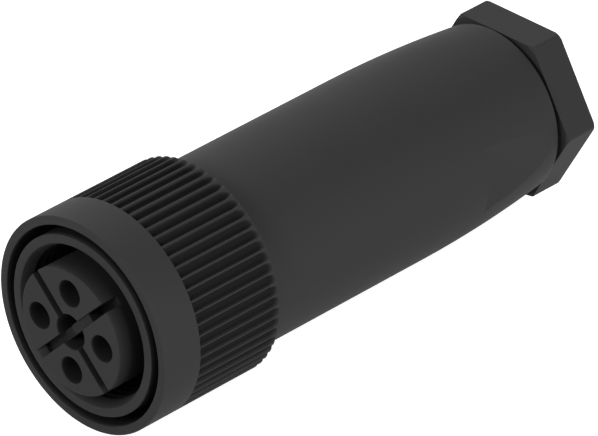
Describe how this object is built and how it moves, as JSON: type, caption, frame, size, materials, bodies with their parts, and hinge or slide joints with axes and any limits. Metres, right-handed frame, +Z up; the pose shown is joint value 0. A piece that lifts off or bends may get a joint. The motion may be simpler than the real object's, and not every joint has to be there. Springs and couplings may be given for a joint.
{
  "type": "power socket",
  "caption": "Straight circular power socket with a screw coupling ring, round housing and cable gland, for fitting to a cable.",
  "frame": {"origin": "centre of the contact pad's mating face", "axes": "+X along the connector's axis from the mating face to the cable end, +Z up with the part lying on its side, keyway at 135 degrees from +Y towards +Z"},
  "size_m": [0.0662, 0.024, 0.024],
  "materials": {
    "insert_plastic": "matt moulded",
    "ring_plastic": "matt moulded",
    "housing_plastic": "fine matt texture",
    "nut_plastic": "matt moulded",
    "washer_plastic": "satin",
    "seal_rubber": "matt",
    "contact_brass": "turned and plated",
    "spring_steel": "bright",
    "screw_steel": "zinc plated"
  },
  "bodies": {
    "insert": {"contact_carrier": "insert_plastic", "face_seal": "seal_rubber", "contact_1": "contact_brass", "contact_2": "contact_brass", "contact_3": "contact_brass", "contact_4": "contact_brass", "contact_spring_1": "spring_steel", "contact_spring_2": "spring_steel", "contact_spring_3": "spring_steel", "contact_spring_4": "spring_steel", "terminal_screw_1": "screw_steel", "terminal_screw_2": "screw_steel", "terminal_screw_3": "screw_steel", "terminal_screw_4": "screw_steel"},
    "ring": {"coupling_ring": "ring_plastic"},
    "seal_carriage": {"housing_seal": "seal_rubber"},
    "housing": {"housing": "housing_plastic", "seat_washer": "washer_plastic", "cable_seal": "seal_rubber"},
    "follower": {"pinch_ring": "washer_plastic"},
    "gland_nut": {"gland_nut": "nut_plastic"}
  },
  "joints": [
    {"name": "ring_spin", "type": "hinge", "parent": "insert", "child": "ring", "pos_m": [0.0096, 0, 0], "axis": [1, 0, 0], "continuous": true},
    {"name": "housing_travel", "type": "slide", "parent": "insert", "child": "seal_carriage", "axis": [1, 0, 0], "range_m": [0, 0.0075]},
    {"name": "housing_turn", "type": "hinge", "parent": "seal_carriage", "child": "housing", "pos_m": [0.02, 0, 0], "axis": [1, 0, 0], "range_deg": [0, 2700]},
    {"name": "nut_travel", "type": "slide", "parent": "housing", "child": "follower", "axis": [1, 0, 0], "range_m": [0, 0.00353]},
    {"name": "nut_turn", "type": "hinge", "parent": "follower", "child": "gland_nut", "pos_m": [0.06, 0, 0], "axis": [1, 0, 0], "range_deg": [0, 900]}
  ],
  "couplings": [
    {"joint": "housing_travel", "follows": "housing_turn", "m_per_rad": 0.00015915},
    {"joint": "nut_travel", "follows": "nut_turn", "m_per_rad": 0.00022457}
  ]
}
